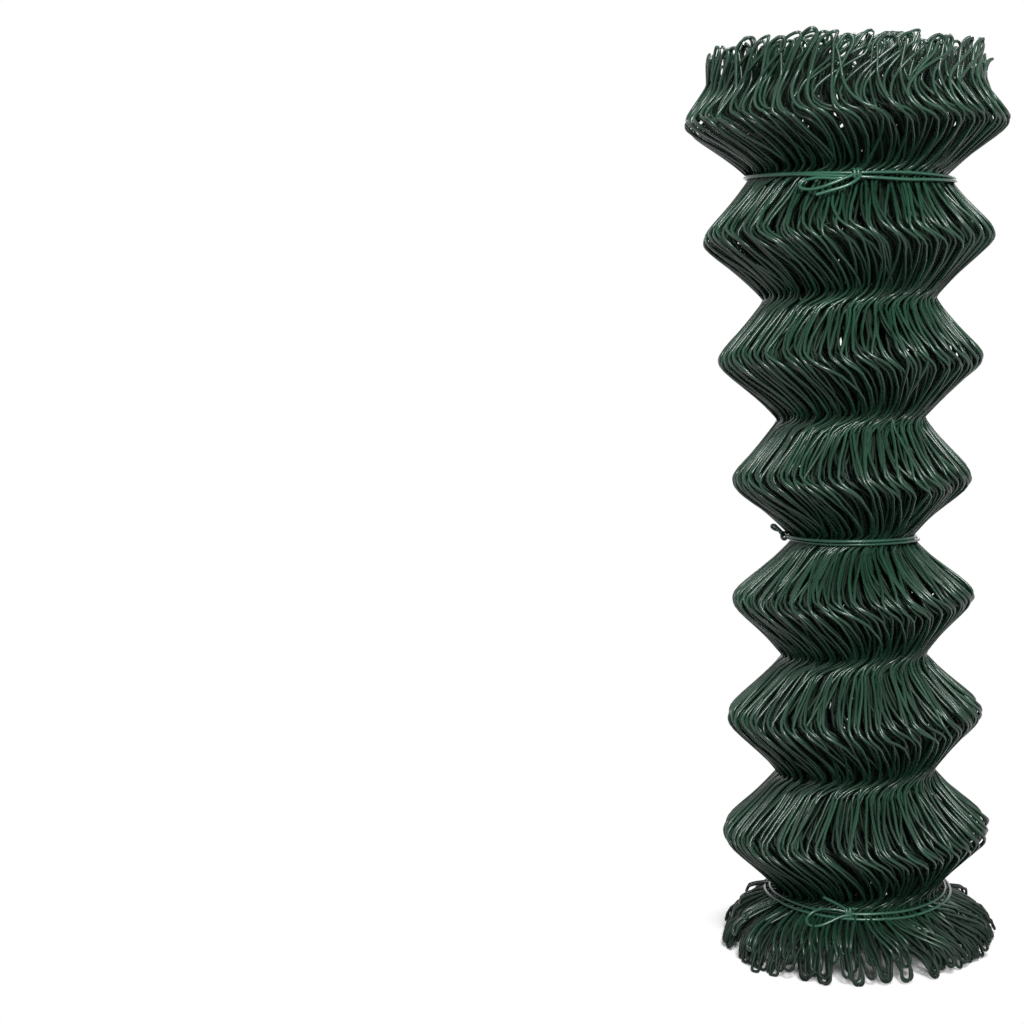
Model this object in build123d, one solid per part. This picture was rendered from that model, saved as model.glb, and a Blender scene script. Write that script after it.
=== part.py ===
"""A compact roll of chain-link fencing, standing on its end, in millimetres.

The fence is a row of zigzag wires hooked into each other. Closed up and rolled tight, the zigzags nest, so
the roll is pleated like an accordion: it bulges at each outer corner of the wires and narrows at each inner
corner. Three tie wires hold it, in the top, the middle and the bottom valley.
The origin is on the floor, on the roll's axis, with +Z up. The front, where two ties are knotted, faces -Y.
"""

import os

from build123d import *

# Roll: heights from the floor, and radii to the outside of the wires
wire_diameter = 2.8
pleat_pitch = 107.0
pleat_depth = 46.5
bottom_valley_height = 48.0
bottom_rim_height = 13.0
top_ridge_rise = 46.0
top_collar_rise = 80.0
top_rim_rise = 110.0
top_ridge_radius = 144.0
top_rim_radius = 127.0
foot_inset = 11.0
bore_radius = 20.0
ridge_land = 7.0
valley_land = 8.0
rim_chamfer = 4.0

# Each bulge's radius, from the bottom rim up, as a share of the top one: the roll is pinched in at its waist
ridge_radius_shares = (0.868, 0.850, 0.806, 0.762, 0.750, 0.826, 0.903, 1.0)

# Turns that show on the two ends, parted by a spiral groove. The fence is straight from wire to wire
turn_pitch = 17.0
turn_gap = 4.5
turn_gap_depth = 9.0
links_per_turn = 24

# Ties: a wire of few sides, straight from wire to wire round a valley, twisted once and ending in a bow
waist_pinch = 6.0
seat_gap = 0.3
wire_sides = 4
tie_links = 40
twist_length = 13.0
twist_radius = 2.3
bow_length = 42.0
bow_height = 12.0
small_bow_length = 24.0
small_bow_height = 9.0
front_angle = -90.0
left_angle = 192.0

# Sizes that follow from those above
wire_radius = wire_diameter / 2
valley_count = len(ridge_radius_shares) - 1
waist_valley = valley_count // 2
top_valley = valley_count - 1
roll_height = bottom_valley_height + top_valley * pleat_pitch + top_rim_rise


def valley_height(index):
    return bottom_valley_height + index * pleat_pitch


def ridge_height(index):
    if index == 0:
        return bottom_rim_height
    if index == valley_count:
        return valley_height(top_valley) + top_ridge_rise
    return valley_height(index) - pleat_pitch / 2


def ridge_radius(index):
    return top_ridge_radius * ridge_radius_shares[index]


def valley_radius(index):
    between = (ridge_radius(index) + ridge_radius(index + 1)) / 2
    pinch = waist_pinch if index == waist_valley else 0
    return between - pleat_depth - pinch


def land(radius, height, width):
    """The lower and the upper end of a narrow cylinder round a ridge or a valley."""
    return [(radius, height - width / 2), (radius, height + width / 2)]


def pleated_outline():
    """Half of the roll's section, from the foot up over each ridge and valley to the collar at the top."""
    points = [(bore_radius, 0), (ridge_radius(0) - foot_inset, 0)]
    for index in range(valley_count):
        points += land(ridge_radius(index), ridge_height(index), ridge_land)
        points += land(valley_radius(index), valley_height(index), valley_land)
    points += land(ridge_radius(valley_count), ridge_height(valley_count), ridge_land)
    points.append((top_rim_radius, valley_height(top_valley) + top_collar_rise))
    points += [(top_rim_radius, roll_height - rim_chamfer), (top_rim_radius - rim_chamfer, roll_height)]
    points.append((bore_radius, roll_height))
    return make_face(Plane.XZ * Polyline(*points, close=True))


def spiral_gap(flat_radius):
    """The gap between the turns on one end, from the first turn round the bore to the last whole one."""
    first_radius = bore_radius + turn_pitch
    steps = int((flat_radius - turn_pitch - first_radius) / turn_pitch * links_per_turn)
    edges = []
    for side in (-turn_gap / 2, turn_gap / 2):
        edge = []
        for step in range(steps + 1):
            turns = step / links_per_turn
            start = Vector(first_radius + side + turns * turn_pitch, 0)
            edge.append(start.rotate(Axis.Z, turns * 360))
        edges.append(edge)
    return make_face(Polyline(*edges[0], *reversed(edges[1]), close=True))


def fence_roll():
    """All the turns of the fence as one turned solid with its bore."""
    roll = revolve(pleated_outline(), Axis.Z)
    top_gap = extrude(Pos(0, 0, roll_height) * spiral_gap(top_rim_radius), -turn_gap_depth)
    bottom_gap = extrude(spiral_gap(ridge_radius(0) - foot_inset), turn_gap_depth)
    return roll - top_gap - bottom_gap


def wire_section():
    return RegularPolygon(wire_radius, wire_sides)


def straight_wire(start, end):
    line = Line(start, end)
    return sweep(Plane(origin=start, z_dir=line % 0) * wire_section(), line)


def bow(length, height):
    """A closed loop of wire in the XY plane, from the origin along +X."""
    half_height = height / 2
    near, far = half_height, length - half_height
    loop = straight_wire((near, half_height), (far, half_height))
    loop += straight_wire((near, -half_height), (far, -half_height))
    for centre, turn in ((near, 180), (far, -180)):
        section = Plane.YZ.offset(centre) * Pos(half_height, 0) * wire_section()
        loop += revolve(section, Axis((centre, 0, 0), (0, 0, 1)), turn)
    return loop


def tie_wire(index, knot_angle, loop_length, loop_height):
    """A strand round a valley, a twist that stands out of it, and a bow bent to the left of the twist."""
    inner_radius = valley_radius(index) + seat_gap
    ring_radius = inner_radius + wire_radius
    ring = RegularPolygon(inner_radius + wire_diameter, tie_links, major_radius=False)
    ring -= RegularPolygon(inner_radius, tie_links, major_radius=False)
    ring = extrude(ring, wire_radius, both=True)

    outward = Plane(origin=(0, 0, 0), x_dir=(0, -1, 0), z_dir=(1, 0, 0))
    twist = outward.offset(ring_radius) * Cylinder(
        twist_radius, twist_length, align=(Align.CENTER, Align.CENTER, Align.MIN)
    )
    loop = outward.offset(ring_radius + twist_length) * bow(loop_length, loop_height)
    tie = ring + Rot(0, 0, knot_angle) * (twist + loop)
    return Pos(0, 0, valley_height(index)) * tie


def main():
    nodes = {
        "fence_roll": fence_roll(),
        "top_tie_wire": tie_wire(top_valley, front_angle, bow_length, bow_height),
        "middle_tie_wire": tie_wire(waist_valley, left_angle, small_bow_length, small_bow_height),
        "bottom_tie_wire": tie_wire(0, front_angle, bow_length, bow_height),
    }
    os.makedirs("parts", exist_ok=True)
    for name, shape in nodes.items():
        shape.label = name
        export_step(shape, f"parts/{name}.step")


main()
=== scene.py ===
import math

import bpy
import numpy as np
from mathutils import Matrix, Vector


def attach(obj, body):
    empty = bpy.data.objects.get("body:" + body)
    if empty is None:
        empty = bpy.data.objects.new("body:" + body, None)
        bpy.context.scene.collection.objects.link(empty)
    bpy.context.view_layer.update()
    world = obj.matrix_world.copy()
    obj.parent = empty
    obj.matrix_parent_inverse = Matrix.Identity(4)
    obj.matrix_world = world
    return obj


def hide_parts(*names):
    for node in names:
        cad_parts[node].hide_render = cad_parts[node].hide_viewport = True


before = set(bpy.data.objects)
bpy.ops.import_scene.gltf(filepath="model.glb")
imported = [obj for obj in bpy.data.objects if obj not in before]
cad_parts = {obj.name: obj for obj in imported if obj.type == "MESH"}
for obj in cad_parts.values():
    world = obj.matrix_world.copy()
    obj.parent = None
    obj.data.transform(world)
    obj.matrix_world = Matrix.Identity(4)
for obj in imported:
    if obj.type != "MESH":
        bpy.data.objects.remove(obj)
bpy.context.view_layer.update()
bpy.ops.object.select_all(action="DESELECT")
print("frame loaded:", ", ".join(sorted(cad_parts)))


def readOutline():
    # the turned solid from the top down: its collar, then every ridge and valley as radius and height
    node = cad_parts["fence_roll"]
    spots = np.empty(len(node.data.vertices) * 3)
    node.data.vertices.foreach_get("co", spots)
    spots = spots.reshape(-1, 3)
    heights = spots[:, 2].round(4)  # to a tenth of a millimetre
    radii = np.hypot(spots[:, 0], spots[:, 1])
    levels = np.unique(heights)[::-1]
    widest = np.array([radii[heights == level].max() for level in levels])
    sameRadius = 2e-5  # metres: radii that differ by less are one land
    rim = widest[1]
    foot = levels[2:][np.abs(widest[2:] - rim) < sameRadius][0]
    lands = np.flatnonzero(np.abs(np.diff(widest)) < sameRadius)
    corners = [(widest[i], (levels[i] + levels[i + 1]) / 2) for i in lands if levels[i] < foot]
    return {"radius": rim, "foot": foot, "top": levels[0]}, np.array(corners)


collar, pleats = readOutline()
print("ridges and valleys read from the solid:", len(pleats))

# zigzag wires of the fence, in metres, with angles in degrees
fence = {
    "wire": 0.0028,  # diameter over the coating
    "seed": 23,
    "turnWires": (78, 92, 106, 104, 88, 67),  # wires in each turn, from the outside in
    "turnSides": (8, 6, 5, 5, 5, 5),  # sides of the round wire in each turn
    "turnSteps": (11, 9, 7, 6, 6, 6),  # points on a leg, from one corner to the next
    "cornerPoints": 0.11,  # how much those points crowd towards the corners
    "stripEnd": 58,  # where the outer end of the fence lies, behind the right side
    "slideIn": 42,  # the angle over which a turn slides in under the one before it
    "bore": 0.0235,
    "crowding": 1.75,  # above 1 the outer turns lie closer together than the inner ones
    "corner": (0.87, 0.985),  # at a ridge and at a valley: 1 is a sharp corner, 0 a round wave
    "sway": 0.0150,  # how far a wire swings to each side of its pleat
    # the shape of that swing over two legs, as cosine and sine
    "swingWaves": ((-0.33, 0.92), (-0.03, -0.04), (-0.01, 0.16), (0, -0.02), (0, 0.07)),
    "swayUneven": (0.12, 0.24),  # how much it differs between wires, shared by neighbours and a wire's own
    "swayFall": 0.95,  # share of it that is left at each turn further in
    "pairShift": 0.0017,  # hooked neighbours lean together at a ridge
    "pairRise": 0.0011,  # and one passes over the other
    "pairValley": -0.5,  # share of both at a valley, where each leans to its other neighbour
    "legBow": (0.0014, 0.0038),  # a leg bows out to either side of that swing, on its way in and out
    "slip": 0.0016,  # disorder that neighbours share, sideways
    "wideReach": 3,  # the wires on each side that share it
    "ownSlip": 0.0019,
    "strayShare": 0.13,  # corners that have sprung out of line
    "stray": 0.0045,
    "rise": 0.0012,  # the same disorder, up and down
    "closeReach": 2,
    "ownRise": 0.0007,
    "slack": 0.0013,  # and inwards
    "valleyHold": 0.45,  # how much of that disorder is left in a valley
    "tiedValleys": (1, 7, 13),
    "pinch": 0.0016,  # how far a tie draws its valley in
    "floorGap": 0.0002,
}

topEnd = {
    "inset": 0.0025,  # of the outer wires from the collar
    "insetSpread": 0.0015,
    "footSpread": 0.004,
    "hollow": 0.012,  # how far a wire swings left on its way up from the ridge
    "hollowSpread": 0.4,
    "hollowPower": 0.65,  # below 1 that swing is greatest low down
    "lean": 0.006,
    "leanSpread": 0.013,
    "drop": 0.003,  # the arches end about this far below the top of the solid
    "topSpread": 0.005,
    "innerRise": 0.0008,  # each turn further in stands this much higher
    "archHeight": (0.006, 0.011),
    "archHalf": (0.0045, 0.011),
    "archSlant": 0.5,
    "tilt": 0.002,  # how far the top of an arch stands off to a side
    "crossShare": 0.5,  # arches whose legs cross
    "cutShare": 0.05,  # wires that end in a bare cut instead
    "cutRise": (0.002, 0.012),
    "cutTilt": 1.3,  # a cut end stands off by this much of the tilt
    "runSteps": 5,
    "bendSteps": 5,
}

bottomEnd = {
    "inset": 0.0005,  # of the hairpins from the rim
    "frontReach": 0.020,  # they spread further on the floor in front
    "spread": 0.0028,
    "turnStep": 0.0008,  # each turn further in ends this much nearer to the axis
    "short": 0.034,  # the most by which a hairpin of the outer turns falls short
    "shortTurns": 2.4,  # this many turns deep, none falls short
    "shortRise": 0.55,  # a short one ends higher, by this share of what it lacks
    "height": 0.0035,
    "heightSpread": 0.012,
    "heightFall": 0.82,  # share of that spread that is left at each turn further in
    "lean": 0.015,
    "hairpin": (0.0026, 0.0052),  # half of its width
    "cap": 0.0046,  # how far its bend reaches past its legs
    "droop": 1.1,  # how steeply that bend turns down
    "raisedAt": 184,  # a few at the left stick out flat
    "raisedWidth": 12,
    "raised": 0.044,
    "raisedShares": (0.7, 1.05),
    "bendSteps": 5,
}


def neighbourNoise(rng, count, columns, reach):
    # noise that neighbours share, evened over a few wires, with a spread of 1
    raw = rng.normal(size=(count, columns))
    weights = np.hanning(2 * reach + 3)[1:-1]
    padded = np.concatenate([raw[-reach:], raw, raw[:reach]])
    evened = [np.convolve(padded[:, c], weights, mode="valid") for c in range(columns)]
    return np.stack(evened, axis=1) / np.sqrt((weights**2).sum())


def smoothStep(share):
    return share**2 * (3 - 2 * share)


def cornerEase(share, start, end):
    # how far a leg has gone across the pleat, slow at both of its corners: 0 is a ridge and 1 a valley
    bends = [fence["corner"][start], fence["corner"][end]]
    first, last = (0.5 - np.arcsin(bend * np.cos(np.pi * share)) / (2 * math.asin(bend)) for bend in bends)
    return first + (last - first) * smoothStep(share)


def valleyEase(share):
    # the same with a valley at the start only
    bend = fence["corner"][1]
    return 1 - np.arcsin(bend * np.cos(np.pi / 2 * share)) / math.asin(bend)


def swing(legs):
    # sideways swing, counted in legs from the top ridge: right on the way in, left on the way out
    waves = enumerate(fence["swingWaves"], start=1)
    return sum(a * np.cos(k * np.pi * legs) + b * np.sin(k * np.pi * legs) for k, (a, b) in waves)


def turnRadius(outer, depth):
    # radius of a wire's middle that lies some turns deep, where the roll has this outer radius
    inward = (depth / len(fence["turnWires"])) ** fence["crowding"]
    return outer - fence["wire"] / 2 - inward * (outer - fence["bore"])


def toSpace(radius, around, height):
    return np.stack(np.broadcast_arrays(radius * np.cos(around), radius * np.sin(around), height), axis=-1)


def layWires():
    # each wire's turn, its angle round the roll, and how many turns deep it lies
    turn, angle, depth = [], [], []
    for index, count in enumerate(fence["turnWires"]):
        along = (np.arange(count) + 0.5) / count
        into = np.clip((along - 1) * 360 / fence["slideIn"] + 1, 0, 1)
        turn.append(np.full(count, index))
        angle.append(math.radians(fence["stripEnd"]) + 2 * math.pi * (index + along))
        depth.append(index + smoothStep(into))
    return {"turn": np.concatenate(turn), "angle": np.concatenate(angle), "depth": np.concatenate(depth)}


def pairUp(count, first):
    # each wire's partner at an end, starting the pairs at the first or at the second wire
    index = np.arange(count)
    partner = index + np.where((index - first) % 2 == 0, 1, -1)
    alone = (partner < 0) | (partner >= count)
    return np.where(alone, index, partner), alone


def shared(values, partner):
    # the mean of each wire and its partner
    return (values + values[partner]) / 2


def bendCorners(rng, wires):
    # radius, height and angle of every corner, with the small disorder of a real roll
    count, corners = len(wires["angle"]), len(pleats)
    outer, level = pleats.T
    ridge = np.arange(corners) % 2 == 0
    loose = np.where(ridge, 1, fence["valleyHold"])
    odd = np.where(np.arange(count) % 2, 1, -1)[:, None] * np.where(ridge, 1, fence["pairValley"])
    slip = fence["slip"] * neighbourNoise(rng, count, corners, fence["wideReach"])
    slip += fence["ownSlip"] * rng.normal(size=(count, corners))
    stray = (rng.random((count, corners)) < fence["strayShare"]) * fence["stray"]
    slip += stray * rng.normal(size=(count, corners))
    rise = fence["rise"] * neighbourNoise(rng, count, corners, fence["closeReach"])
    rise += fence["ownRise"] * rng.normal(size=(count, corners))
    slack = fence["slack"] * np.abs(rng.normal(size=(count, corners)))
    depth = wires["depth"][:, None]
    tied = np.isin(np.arange(corners), fence["tiedValleys"])
    wires["radius"] = turnRadius(outer, depth) - loose * slack - tied * fence["pinch"]
    wires["height"] = level + loose * rise + odd * fence["pairRise"]
    wires["around"] = wires["angle"][:, None] + (loose * slip + odd * fence["pairShift"]) / wires["radius"]
    common, own = fence["swayUneven"]
    uneven = common * neighbourNoise(rng, count, corners, fence["closeReach"])
    uneven = uneven + own * rng.normal(size=(count, corners))
    wires["sway"] = fence["sway"] * (1 + uneven) * fence["swayFall"] ** depth
    wires["bow"] = np.where(ridge, *fence["legBow"]) * rng.normal(size=(count, corners))


def shapeTops(rng, wires):
    # above the collar's foot the wires lean over, and pairs of them are joined by an arch
    count = len(wires["angle"])
    partner, alone = pairUp(count, 0)
    wires["topPartner"] = partner
    rim = turnRadius(collar["radius"] - topEnd["inset"], wires["depth"])
    wires["rim"] = rim - topEnd["insetSpread"] * np.abs(rng.normal(size=count))
    footNoise = neighbourNoise(rng, count, 1, fence["closeReach"])[:, 0]
    wires["footHeight"] = collar["foot"] + topEnd["footSpread"] * footNoise
    ridgeSwing = wires["sway"][:, 0] * swing(np.array(0.0)) / wires["radius"][:, 0]
    wires["ridgeAngle"] = wires["around"][:, 0] + ridgeSwing
    wires["hollow"] = topEnd["hollow"] * (1 + topEnd["hollowSpread"] * rng.normal(size=count))
    lean = shared(topEnd["lean"] + topEnd["leanSpread"] * rng.normal(size=count), partner)
    half = shared(rng.uniform(*topEnd["archHalf"], count), partner)
    crossed = shared(rng.random(count), partner) < topEnd["crossShare"]
    side = np.where(np.arange(count) < partner, -1, 1) * np.where(crossed, -1, 1)
    pairRim = shared(wires["rim"], partner)
    wires["baseAngle"] = shared(wires["ridgeAngle"], partner) + (lean + side * half) / pairRim
    wires["archAngle"] = shared(wires["baseAngle"], partner)
    top = collar["top"] - topEnd["drop"] + topEnd["innerRise"] * wires["depth"]
    top = shared(top + topEnd["topSpread"] * rng.normal(size=count), partner)
    wires["archRise"] = shared(rng.uniform(*topEnd["archHeight"], count), partner)
    wires["baseHeight"] = top - wires["archRise"]
    cut = rng.random(count) < topEnd["cutShare"]
    wires["cutTop"] = cut | cut[partner] | alone
    wires["cutRise"] = rng.uniform(*topEnd["cutRise"], count)
    wires["tilt"] = rng.normal(size=(count, 3)) * (topEnd["tilt"], topEnd["tilt"], 0)


def shapeFeet(rng, wires):
    # below the last valley pairs of wires run out over the floor and close in a hairpin
    count = len(wires["angle"])
    partner, alone = pairUp(count, 1)
    wires["footPartner"] = partner
    wires["footAlone"] = alone
    angle = shared(wires["around"][:, -2], partner)
    front = np.clip(-np.sin(angle), 0, 1) ** 2
    reach = pleats[-1][0] - fence["wire"] / 2 - bottomEnd["inset"] - bottomEnd["turnStep"] * wires["depth"]
    reach = reach + bottomEnd["frontReach"] * front + bottomEnd["spread"] * rng.normal(size=count)
    short = bottomEnd["short"] * rng.random(count) * np.clip(bottomEnd["shortTurns"] - wires["depth"], 0, 1)
    reach = reach - short
    lift = bottomEnd["heightSpread"] * bottomEnd["heightFall"] ** wires["depth"]
    height = bottomEnd["height"] + lift * np.abs(rng.normal(size=count)) + bottomEnd["shortRise"] * short
    off = (np.degrees(angle) - bottomEnd["raisedAt"] + 180) % 360 - 180
    raised = (np.abs(off) < bottomEnd["raisedWidth"]) & (wires["turn"] == 0)
    raisedHeight = bottomEnd["raised"] * rng.uniform(*bottomEnd["raisedShares"], count)
    height = np.where(raised, raisedHeight, height)
    lean = bottomEnd["lean"] * rng.normal(size=count)
    half = shared(rng.uniform(*bottomEnd["hairpin"], count), partner)
    side = np.where(np.arange(count) < partner, -1, 1)
    wires["endRadius"] = shared(reach, partner)
    wires["endHeight"] = shared(height, partner)
    wires["endAngle"] = angle + (shared(lean, partner) + side * half) / wires["endRadius"]


def bendTo(start, middle, reach, steps, cut):
    # from a leg's end to the middle of the bend that joins it to its partner, or on to a cut end
    share = (np.arange(1, steps + 1) / steps)[None, :, None]
    cut = cut[:, None, None]
    across = np.where(cut, share**2, 1 - np.cos(np.pi / 2 * share))
    onward = np.where(cut, share, np.sin(np.pi / 2 * share))
    return start[:, None, :] + (middle - start)[:, None, :] * across + reach[:, None, :] * onward


def legShares(steps):
    # points along a leg, as shares of it, closer together towards the corners
    even = np.arange(steps) / steps
    return even - fence["cornerPoints"] * np.sin(2 * np.pi * even)


def topPath(wires, pick, shares):
    # from the middle of its arch, or from its cut end, down to the top ridge
    part = {name: values[pick] for name, values in wires.items()}
    rim, foot, base = part["rim"], part["footHeight"], part["baseHeight"]
    start = toSpace(rim, part["baseAngle"], base)
    partnerBase = toSpace(wires["rim"], wires["baseAngle"], wires["baseHeight"])[part["topPartner"]]
    middle = (start + partnerBase) / 2 + part["tilt"] + wires["tilt"][part["topPartner"]]
    middle = np.where(part["cutTop"][:, None], start + topEnd["cutTilt"] * part["tilt"], middle)
    slant = toSpace(topEnd["archSlant"], part["archAngle"] + np.pi / 2, 1.0)
    reach = slant * np.where(part["cutTop"], part["cutRise"], part["archRise"])[:, None]
    arch = bendTo(start, middle, reach, topEnd["bendSteps"], part["cutTop"])[:, ::-1]

    # the collar, then the flank down to the top ridge
    ridgeRadius, ridgeHeight = part["radius"][:, :1], part["height"][:, :1]
    rim, foot, base = rim[:, None], foot[:, None], base[:, None]
    share = 1 - np.arange(topEnd["runSteps"]) / topEnd["runSteps"]
    height = [foot + (base - foot) * share, ridgeHeight + (foot - ridgeHeight) * (1 - shares)]
    radius = [rim + 0 * share, ridgeRadius + (rim - ridgeRadius) * cornerEase(1 - shares, 0, 0)]
    height, radius = np.concatenate(height, axis=1), np.concatenate(radius, axis=1)
    climb = np.clip((height - ridgeHeight) / (base - ridgeHeight), 0, 1)
    around = part["ridgeAngle"][:, None] + (part["baseAngle"] - part["ridgeAngle"])[:, None] * climb**2
    bulge = np.sin(np.pi * climb ** topEnd["hollowPower"])
    around = around - part["hollow"][:, None] * bulge / radius
    return [arch, toSpace(radius, around, height)]


def pleatPath(wires, pick, shares):
    # every leg from the top ridge down to the last valley
    names = ("radius", "height", "around", "sway", "bow")
    radius, height, around, sway, bow = (wires[name][pick] for name in names)
    ease = (cornerEase(shares, 0, 1), cornerEase(shares, 1, 0))
    smooth = smoothStep(shares)
    legs = []
    for c in range(len(pleats) - 2):
        here, there = slice(c, c + 1), slice(c + 1, c + 2)
        r = radius[:, here] + (radius[:, there] - radius[:, here]) * ease[c % 2]
        z = height[:, here] + (height[:, there] - height[:, here]) * shares
        a = around[:, here] + (around[:, there] - around[:, here]) * smooth
        aside = (sway[:, here] + (sway[:, there] - sway[:, here]) * smooth) * swing(c + shares)
        aside = aside + bow[:, here] * np.sin(np.pi * shares)
        legs.append(toSpace(r, a + aside / r, z))
    return legs


def footPath(wires, pick, shares):
    # from the last valley out to the middle of its hairpin
    part = {name: values[pick] for name, values in wires.items()}
    last = len(pleats) - 2
    share = np.append(shares, 1)
    valleyRadius, valleyHeight, valleyAngle, sway = (
        part[name][:, last : last + 1] for name in ("radius", "height", "around", "sway")
    )
    endRadius, endHeight, endAngle = (
        part[name][:, None] for name in ("endRadius", "endHeight", "endAngle")
    )
    smooth = smoothStep(share)
    r = valleyRadius + (endRadius - valleyRadius) * np.sin(np.pi / 2 * valleyEase(share))
    z = valleyHeight + (endHeight - valleyHeight) * share
    a = valleyAngle + (endAngle - valleyAngle) * smooth + sway * swing(last + share) * (1 - smooth) / r
    leg = toSpace(r, a, z)
    start = leg[:, -1]
    ends = toSpace(wires["endRadius"], wires["endAngle"], wires["endHeight"])
    middle = (start + ends[part["footPartner"]]) / 2
    onward = leg[:, -1] - leg[:, -4]
    reach = onward / np.linalg.norm(onward, axis=1)[:, None] - (0, 0, bottomEnd["droop"])
    reach = reach / np.linalg.norm(reach, axis=1)[:, None] * bottomEnd["cap"]
    return [leg, bendTo(start, middle, reach, bottomEnd["bendSteps"], part["footAlone"])]


def wirePaths():
    # for each turn an array of wires, points along the wire, and X Y Z
    rng = np.random.default_rng(fence["seed"])
    wires = layWires()
    bendCorners(rng, wires)
    shapeTops(rng, wires)
    shapeFeet(rng, wires)
    paths = []
    for index, steps in enumerate(fence["turnSteps"]):
        pick = wires["turn"] == index
        shares = legShares(steps)
        legs = topPath(wires, pick, shares) + pleatPath(wires, pick, shares) + footPath(wires, pick, shares)
        path = np.concatenate(legs, axis=1)
        path[:, :, 2] = np.maximum(path[:, :, 2], fence["wire"] / 2 + fence["floorGap"])
        paths.append(path)
    return paths


def wireMesh(name, path, sides, tones):
    # round wires along many paths at once, each closed at both ends
    wires, steps, _ = path.shape
    ahead = np.gradient(path, axis=1)
    ahead /= np.linalg.norm(ahead, axis=2)[:, :, None]
    normal = np.empty_like(path)
    slantwise = (0.31, 0.87, 0.39)  # no wire starts along this direction
    first = np.cross(ahead[:, 0], slantwise)
    normal[:, 0] = first / np.linalg.norm(first, axis=1)[:, None]
    for step in range(1, steps):
        kept = normal[:, step - 1]
        kept = kept - (kept * ahead[:, step]).sum(axis=1)[:, None] * ahead[:, step]
        normal[:, step] = kept / np.linalg.norm(kept, axis=1)[:, None]
    across = np.cross(ahead, normal)
    turn = 2 * np.pi * np.arange(sides) / sides
    ring = normal[:, :, None] * np.cos(turn)[:, None] + across[:, :, None] * np.sin(turn)[:, None]
    spots = (path[:, :, None] + fence["wire"] / 2 * ring).reshape(-1, 3)

    base = (np.arange(wires)[:, None, None] * steps + np.arange(steps - 1)[None, :, None]) * sides
    here = np.arange(sides)
    there = (here + 1) % sides
    walls = np.stack([base + here, base + there, base + sides + there, base + sides + here], axis=-1)
    walls = walls.reshape(-1, 4)
    starts = np.arange(wires)[:, None] * steps * sides
    faces = walls.tolist() + (starts + here[::-1]).tolist() + (starts + (steps - 1) * sides + here).tolist()

    mesh = bpy.data.meshes.new(name)
    mesh.from_pydata(spots, [], faces)
    face = np.arange(len(faces))
    onWall = face < len(walls)
    inCrown = onWall & (face // sides % (steps - 1) < topEnd["bendSteps"] + 1)
    flank, cutEnd, crown = 0, 1, 2  # material slots
    mesh.polygons.foreach_set("use_smooth", onWall)
    slots = np.where(inCrown, crown, np.where(onWall, flank, cutEnd))
    mesh.polygons.foreach_set("material_index", slots)
    tone = mesh.attributes.new("wireTone", "FLOAT", "POINT")
    tone.data.foreach_set("value", np.repeat(tones, steps * sides).astype(np.float32))
    mesh.update()
    piece = bpy.data.objects.new(name, mesh)
    bpy.context.scene.collection.objects.link(piece)
    return piece


def buildFence():
    rng = np.random.default_rng(fence["seed"] + 1)
    paths = wirePaths()
    half = len(paths[0]) // 2
    groups = [("outer_turn_left", paths[0][:half], 0), ("outer_turn_right", paths[0][half:], 0)]
    names = ("second_turn", "third_turn", "fourth_turn", "fifth_turn", "innermost_turn")
    groups += [(name, paths[turn], turn) for turn, name in enumerate(names, start=1)]
    pieces = []
    for name, path, turn in groups:
        pieces.append(wireMesh(name, path, fence["turnSides"][turn], rng.random(len(path))))
        print(name, "wires", len(path), "faces", len(pieces[-1].data.polygons))
    return pieces


fencePieces = buildFence()

# tie wires: places are in millimetres, to the right of the front line, up from the valley, and out from
# the fence's wires
ties = {
    "wire": 0.0029,  # metres
    "ringPoints": 24,
    "segments": 5,
    "roundness": 2,
    "knotTurns": 2,
    "knotPoints": 15,
    "knotLift": (1.6, 2.2),  # the middle of the knot's wire, and how far it goes in and out from there
    "knotPitch": 2.8,
}
perMetre = 1000  # millimetres
frontLine = math.radians(-90)

topTie = {
    "valley": 1,
    # height of each strand every 30 degrees to the right, from the front
    "strands": (
        (-2.6, -2.4, -4.2, -5.2, -4.0, -2.0, 0.0, 1.0, 1.0, 0.8, -0.2, -1.4),
        (-5.6, -8.6, -8.0, -6.2, -5.4, -3.2, -1.4, 0.0, 0.2, 0.0, -1.0, -2.2),
    ),
    "lift": (-1.2, -1.5),  # how far each strand lies out from the outline of the fence
    "bow": (
        (8, -2.5, 3), (-1, -7, 4), (-12, -12, 4), (-22, -15.5, 3), (-30, -16, 3), (-35, -14, 3),
        (-35, -10, 3), (-28, -7, 3), (-19, -6.6, 3), (-9, -7.6, 3), (2, -6, 2.5), (9, -4, 2),
    ),
    "tail": ((10, -5, 3), (6, -9.5, 4), (-1, -14, 4), (-11, -17.5, 3.5), (-22, -21, 3)),
    "knot": (7.5, -4.2, 4.4),  # its place to the right and up, and half of its height
}

middleTie = {
    "valley": 7,
    "strands": (
        (2.7, 2.4, 1.4, 0.2, 0.8, 1.6, 2.4, 3.0, 3.4, 3.6, 3.2, 2.8),
        (-0.3, -0.6, -1.6, -2.8, -2.2, -1.4, -0.6, 0.0, 0.4, 0.6, 0.2, -0.2),
    ),
    "lift": (-1.0, -1.0),
    "bow": (
        (-86, 4.5, 0.5), (-88, 6.4, 2.2), (-89, 7.6, 5), (-89, 9.4, 5.4),
        (-88, 11.2, 3.4), (-86, 11.4, 1), (-84, 9, 0.5), (-84, 5.5, 0.4),
    ),
    "tail": ((-83, 2.6, 1.6), (-80, 4.4, 2), (-76, 6.4, 2)),
    "knot": (-85, 2.0, 3.0),
}

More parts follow.
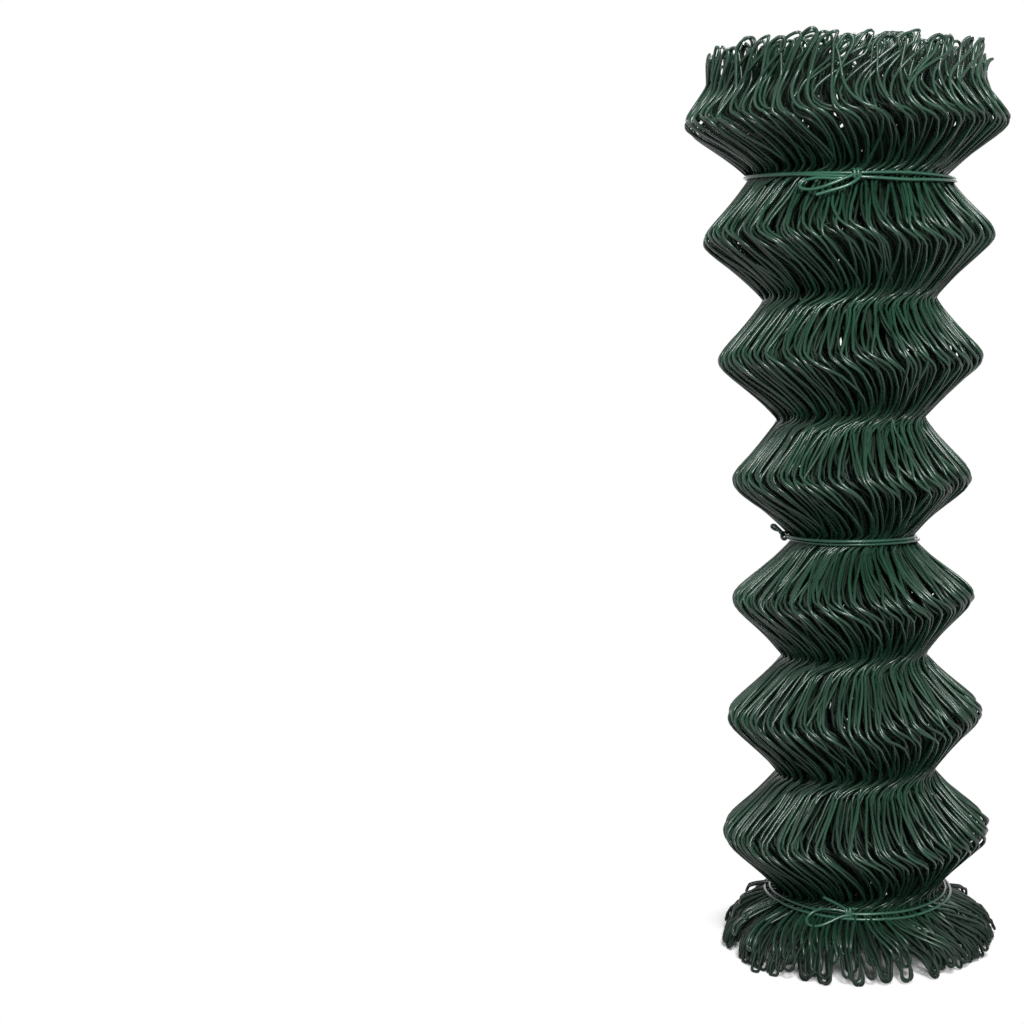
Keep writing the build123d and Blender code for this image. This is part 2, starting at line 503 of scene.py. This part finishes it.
bottomTie = {
    "valley": 13,
    "strands": (
        (-3.0, -3.4, -2.6, -1.5, -1.0, -0.5, 0.0, 0.0, 0.0, -0.5, 0.5, -1.6),
        (-6.0, -7.0, -5.6, -3.6, -3.0, -2.6, -2.4, -2.4, -2.6, -2.8, -2.2, -4.2),
    ),
    "lift": (0.2, 1.6),
    "bow": (
        (-4, -2.5, 4), (-12, 0.5, 6), (-21, 1.8, 7), (-30, 0.2, 7.5), (-36, -3.6, 7.5), (-36.5, -7.5, 7.5),
        (-32, -10.6, 7), (-26, -10, 7), (-19, -7, 6.5), (-12, -3.6, 6), (-4, -2.6, 4),
    ),
    "tail": ((-5, -2.5, 4), (-9, 2, 5), (-15, 8, 4.5), (-24, 15, 4)),
    "knot": (-5.6, -3.2, 6),
}


def restRadius(height):
    # radius of the middle of a tie wire that rests on the fence at this height
    outer, level = pleats[::-1].T
    return np.interp(height, level, outer) + ties["wire"] / 2


def onFence(valley, along, rise, lift):
    # a tie's place to a point in space
    valleyRadius, valleyHeight = pleats[valley]
    height = valleyHeight + rise / perMetre
    around = frontLine + along / perMetre / valleyRadius
    return toSpace(restRadius(height) + lift / perMetre, around, height)


def tiePath(name, spots, closed):
    # one round wire along a smooth curve, made a mesh
    bpy.ops.object.select_all(action="DESELECT")
    data = bpy.data.curves.new(name, "CURVE")
    data.dimensions = "3D"
    data.bevel_depth = ties["wire"] / 2
    data.bevel_resolution = ties["roundness"]
    data.resolution_u = ties["segments"]
    data.use_fill_caps = not closed
    line = data.splines.new("BEZIER")
    line.bezier_points.add(len(spots) - 1)
    for point, spot in zip(line.bezier_points, spots):
        point.co = spot
        point.handle_left_type = "AUTO"
        point.handle_right_type = "AUTO"
    line.use_cyclic_u = closed
    piece = bpy.data.objects.new(name, data)
    bpy.context.scene.collection.objects.link(piece)
    bpy.context.view_layer.objects.active = piece
    piece.select_set(True)
    bpy.ops.object.convert(target="MESH")
    bpy.ops.object.shade_smooth()
    return piece


def buildTie(name, tie):
    # two strands round the valley, a bow, a loose tail and the knot
    valley = tie["valley"]
    valleyRadius, valleyHeight = pleats[valley]
    girth = 2 * math.pi * valleyRadius * perMetre
    pieces = []
    for strand, lift in zip(tie["strands"], tie["lift"]):
        turn = np.arange(ties["ringPoints"]) / ties["ringPoints"]
        rises = np.interp(turn * len(strand), np.arange(len(strand) + 1), strand + strand[:1])
        pieces.append(tiePath(name, onFence(valley, turn * girth, rises, lift), True))
    for route in ("bow", "tail"):
        along, rise, lift = np.array(tie[route]).T
        pieces.append(tiePath(name, onFence(valley, along, rise, lift), False))
    # the knot's wire is wound round the strands, evenly to each side of its place
    along, rise, size = tie["knot"]
    turn = np.linspace(0, ties["knotTurns"], ties["knotPoints"])
    wrapAlong = along + ties["knotPitch"] * (turn - ties["knotTurns"] / 2)
    wrapRise = rise + size * np.cos(2 * np.pi * turn)
    wrapMiddle, wrapReach = ties["knotLift"]
    wrapLift = wrapMiddle + wrapReach * np.sin(2 * np.pi * turn)
    wrap = toSpace(
        restRadius(valleyHeight + rise / perMetre) + wrapLift / perMetre,
        frontLine + wrapAlong / perMetre / valleyRadius,
        valleyHeight + wrapRise / perMetre,
    )
    pieces.append(tiePath(name, wrap, False))
    bpy.ops.object.select_all(action="DESELECT")
    for piece in pieces:
        piece.select_set(True)
    bpy.context.view_layer.objects.active = pieces[0]
    bpy.ops.object.join()
    joined = bpy.context.active_object
    joined.name = name
    print(name, "faces", len(joined.data.polygons))
    return joined


tiePieces = {
    "top_tie_wire": buildTie("top_tie", topTie),
    "middle_tie_wire": buildTie("middle_tie", middleTie),
    "bottom_tie_wire": buildTie("bottom_tie", bottomTie),
}

# coated wire: dark green gloss, a little uneven from wire to wire, with darker copies for the turns further
# in as painted shade
coat = {
    "deep": (0.0045, 0.0175, 0.0100, 1),
    "fresh": (0.0105, 0.0400, 0.0230, 1),
    "secondShadeDeep": (0.0042, 0.0145, 0.0085, 1),  # painted half shade: a darker copy of the coat for the second turn, for the shade it lies in
    "secondShadeFresh": (0.0090, 0.0330, 0.0190, 1),
    "innerShadeDeep": (0.0035, 0.0085, 0.0055, 1),  # painted shade: the turns further in are darker and greyer, for the shade between the turns; they are also dull
    "innerShadeFresh": (0.0080, 0.0200, 0.0130, 1),
    "tieDeep": (0.015, 0.057, 0.036, 1),
    "tieFresh": (0.027, 0.100, 0.064, 1),
    "gloss": (0.38, 0.20, 0.32),  # specular level, and the least and greatest roughness
    "secondGloss": (0.34, 0.24, 0.38),
    "innerGloss": (0.15, 0.40, 0.60),
    "cloudScale": 38,  # the greater, the smaller the uneven patches
    "cloudDetail": 4,
    "toneShare": 0.55,  # how much a wire's own tone adds to the patches
    "deepBelow": 0.35,  # the sum up to which a wire stays deep in colour
    "steel": (0.42, 0.42, 0.43, 1),
    "steelRoughness": 0.45,
}


def coatedWire(name, deep, fresh, gloss):
    material = bpy.data.materials.new(name)
    material.use_nodes = True
    nodes, links = material.node_tree.nodes, material.node_tree.links
    shader = nodes["Principled BSDF"]
    specular, smoothest, roughest = gloss
    shader.inputs["Specular IOR Level"].default_value = specular
    place = nodes.new("ShaderNodeTexCoord")
    cloud = nodes.new("ShaderNodeTexNoise")
    cloud.inputs["Scale"].default_value = coat["cloudScale"]
    cloud.inputs["Detail"].default_value = coat["cloudDetail"]
    links.new(place.outputs["Object"], cloud.inputs["Vector"])
    tone = nodes.new("ShaderNodeAttribute")
    tone.attribute_name = "wireTone"
    blend = nodes.new("ShaderNodeMath")
    blend.operation = "MULTIPLY_ADD"
    blend.inputs[1].default_value = coat["toneShare"]
    links.new(tone.outputs["Fac"], blend.inputs[0])
    links.new(cloud.outputs["Fac"], blend.inputs[2])
    colour = nodes.new("ShaderNodeValToRGB")
    deepStop, freshStop = colour.color_ramp.elements
    deepStop.position = coat["deepBelow"]
    deepStop.color = deep
    freshStop.color = fresh
    links.new(blend.outputs[0], colour.inputs["Fac"])
    links.new(colour.outputs["Color"], shader.inputs["Base Color"])
    rough = nodes.new("ShaderNodeMapRange")
    rough.inputs["To Min"].default_value = smoothest
    rough.inputs["To Max"].default_value = roughest
    links.new(cloud.outputs["Fac"], rough.inputs["Value"])
    links.new(rough.outputs["Result"], shader.inputs["Roughness"])
    return material


def cutSteel():
    material = bpy.data.materials.new("cutSteel")
    material.use_nodes = True
    shader = material.node_tree.nodes["Principled BSDF"]
    shader.inputs["Base Color"].default_value = coat["steel"]
    shader.inputs["Metallic"].default_value = 1
    shader.inputs["Roughness"].default_value = coat["steelRoughness"]
    return material


outerCoat = coatedWire("outerCoat", coat["deep"], coat["fresh"], coat["gloss"])
# the second turn's coat is a darker copy of the outer coat: painted half shade
secondShadedCoat = coatedWire("secondShadedCoat", coat["secondShadeDeep"], coat["secondShadeFresh"], coat["secondGloss"])
# the inner turns' coat is darker still: painted shade between the turns, and dull
innerShadedCoat = coatedWire("innerShadedCoat", coat["innerShadeDeep"], coat["innerShadeFresh"], coat["innerGloss"])
tieCoat = coatedWire("tieCoat", coat["tieDeep"], coat["tieFresh"], coat["gloss"])
bareEnd = cutSteel()
# the flanks of the turns further in take these painted-shade coats; every turn's crown, which lies in the
# light, keeps the outer coat
flankCoats = {"outer_turn_left": outerCoat, "outer_turn_right": outerCoat, "second_turn": secondShadedCoat}
for piece in fencePieces:
    flankCoat = flankCoats.get(piece.name, innerShadedCoat)
    for material in (flankCoat, bareEnd, outerCoat):  # flank, cut end and crown
        piece.data.materials.append(material)
    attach(piece, "root")
    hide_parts("fence_roll")
for node, piece in tiePieces.items():
    piece.data.materials.append(tieCoat)
    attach(piece, "root")
    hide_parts(node)
print("wires coated")

# the photograph's viewpoint, with the roll at the right of the frame
view = {
    "distance": 1.78,
    "height": 0.58,
    "lens": 69.68,  # millimetres, as the sensor
    "sensor": 36,
    "turn": 3.92,  # degrees, to the left
    "tilt": 5.99,  # down
    "roll": -1.10,
    "shift": -0.2,
}


def makeCamera():
    data = bpy.data.cameras.new("camera")
    data.lens = view["lens"]
    data.sensor_width = view["sensor"]
    data.shift_x = view["shift"]
    camera = bpy.data.objects.new("camera", data)
    bpy.context.scene.collection.objects.link(camera)
    turn = Matrix.Rotation(math.radians(view["turn"]), 4, "Z")
    tilt = Matrix.Rotation(math.radians(90 - view["tilt"]), 4, "X")
    roll = Matrix.Rotation(math.radians(view["roll"]), 4, "Z")
    camera.matrix_world = Matrix.Translation((0, -view["distance"], view["height"])) @ turn @ tilt @ roll
    bpy.context.scene.camera = camera


makeCamera()

floor = {
    "size": 12,
    "roughness": 0.8,
    "specular": 0.1,
    "pale": (0.93, 0.93, 0.93, 1),
    "bounce": (0.36, 0.36, 0.36, 1),  # what the floor throws back up at the roll
    "near": 0.112,  # the floor takes the shadow of the roll this near to its axis
    "far": 0.160,  # and is plain white from here on
}


def makeFloor():
    bpy.ops.object.select_all(action="DESELECT")
    bpy.ops.mesh.primitive_plane_add(size=floor["size"])
    plane = bpy.context.active_object
    plane.name = "pale_floor"
    material = bpy.data.materials.new("paleFloor")
    material.use_nodes = True
    nodes, links = material.node_tree.nodes, material.node_tree.links
    shader = nodes["Principled BSDF"]
    shader.inputs["Roughness"].default_value = floor["roughness"]
    shader.inputs["Specular IOR Level"].default_value = floor["specular"]
    ray = nodes.new("ShaderNodeLightPath")
    direct = nodes.new("ShaderNodeMath")
    direct.operation = "MAXIMUM"
    links.new(ray.outputs["Is Camera Ray"], direct.inputs[0])
    links.new(ray.outputs["Is Glossy Ray"], direct.inputs[1])
    tint = nodes.new("ShaderNodeMix")
    tint.data_type = "RGBA"
    tint.inputs[6].default_value = floor["bounce"]  # the two colours of the mix
    tint.inputs[7].default_value = floor["pale"]
    links.new(direct.outputs[0], tint.inputs["Factor"])
    links.new(tint.outputs[2], shader.inputs["Base Color"])
    glow = nodes.new("ShaderNodeEmission")
    place = nodes.new("ShaderNodeTexCoord")
    reach = nodes.new("ShaderNodeVectorMath")
    reach.operation = "LENGTH"
    links.new(place.outputs["Object"], reach.inputs[0])
    fade = nodes.new("ShaderNodeMapRange")
    fade.interpolation_type = "SMOOTHSTEP"
    fade.inputs["From Min"].default_value = floor["near"]
    fade.inputs["From Max"].default_value = floor["far"]
    links.new(reach.outputs["Value"], fade.inputs["Value"])
    seen = nodes.new("ShaderNodeMath")
    seen.operation = "MULTIPLY"
    links.new(direct.outputs[0], seen.inputs[0])
    links.new(fade.outputs["Result"], seen.inputs[1])
    mix = nodes.new("ShaderNodeMixShader")
    links.new(seen.outputs[0], mix.inputs["Fac"])
    links.new(shader.outputs["BSDF"], mix.inputs[1])
    links.new(glow.outputs["Emission"], mix.inputs[2])
    links.new(mix.outputs["Shader"], nodes["Material Output"].inputs["Surface"])
    plane.data.materials.append(material)


makeFloor()

studio = {
    "white": (1, 1, 1, 1),
    "fill": 0.16,  # strength of the world's light on the roll, where 1 is what the camera sees
    "lamps": (
        # name, place, aim, size, power
        ("front_above", (0.3, -1.55, 1.72), (0, 0, 0.6), 0.6, 57),
        ("front", (0.3, -2.1, 1.3), (0, 0, 0.65), 0.6, 24),
        ("behind", (0, 2.2, 1.5), (0, 0, 0.45), 2.0, 26),
        ("left_above", (-1.9, -0.7, 2.2), (0, 0, 0.4), 0.8, 1),
        ("right_above", (1.9, -0.7, 2.2), (0, 0, 0.4), 0.8, 2),
    ),
}


def makeStudio():
    for name, place, aim, size, power in studio["lamps"]:
        data = bpy.data.lights.new(name, "AREA")
        data.size = size
        data.energy = power
        lamp = bpy.data.objects.new(name, data)
        lamp.location = place
        lamp.rotation_euler = (Vector(aim) - Vector(place)).to_track_quat("-Z", "Y").to_euler()
        bpy.context.scene.collection.objects.link(lamp)
    world = bpy.data.worlds.new("paleStudio")
    bpy.context.scene.world = world
    world.use_nodes = True
    nodes, links = world.node_tree.nodes, world.node_tree.links
    back = nodes["Background"]
    back.inputs["Color"].default_value = studio["white"]
    ray = nodes.new("ShaderNodeLightPath")
    direct = nodes.new("ShaderNodeMath")
    direct.operation = "MAXIMUM"
    links.new(ray.outputs["Is Camera Ray"], direct.inputs[0])
    links.new(ray.outputs["Is Glossy Ray"], direct.inputs[1])
    through = nodes.new("ShaderNodeMath")
    through.operation = "MAXIMUM"
    links.new(direct.outputs[0], through.inputs[0])
    links.new(ray.outputs["Is Transmission Ray"], through.inputs[1])
    level = nodes.new("ShaderNodeMapRange")
    level.inputs["To Min"].default_value = studio["fill"]
    links.new(through.outputs[0], level.inputs["Value"])
    links.new(level.outputs["Result"], back.inputs["Strength"])


makeStudio()
bpy.context.scene.view_settings.view_transform = "Standard"
print("camera, floor and lamps set")
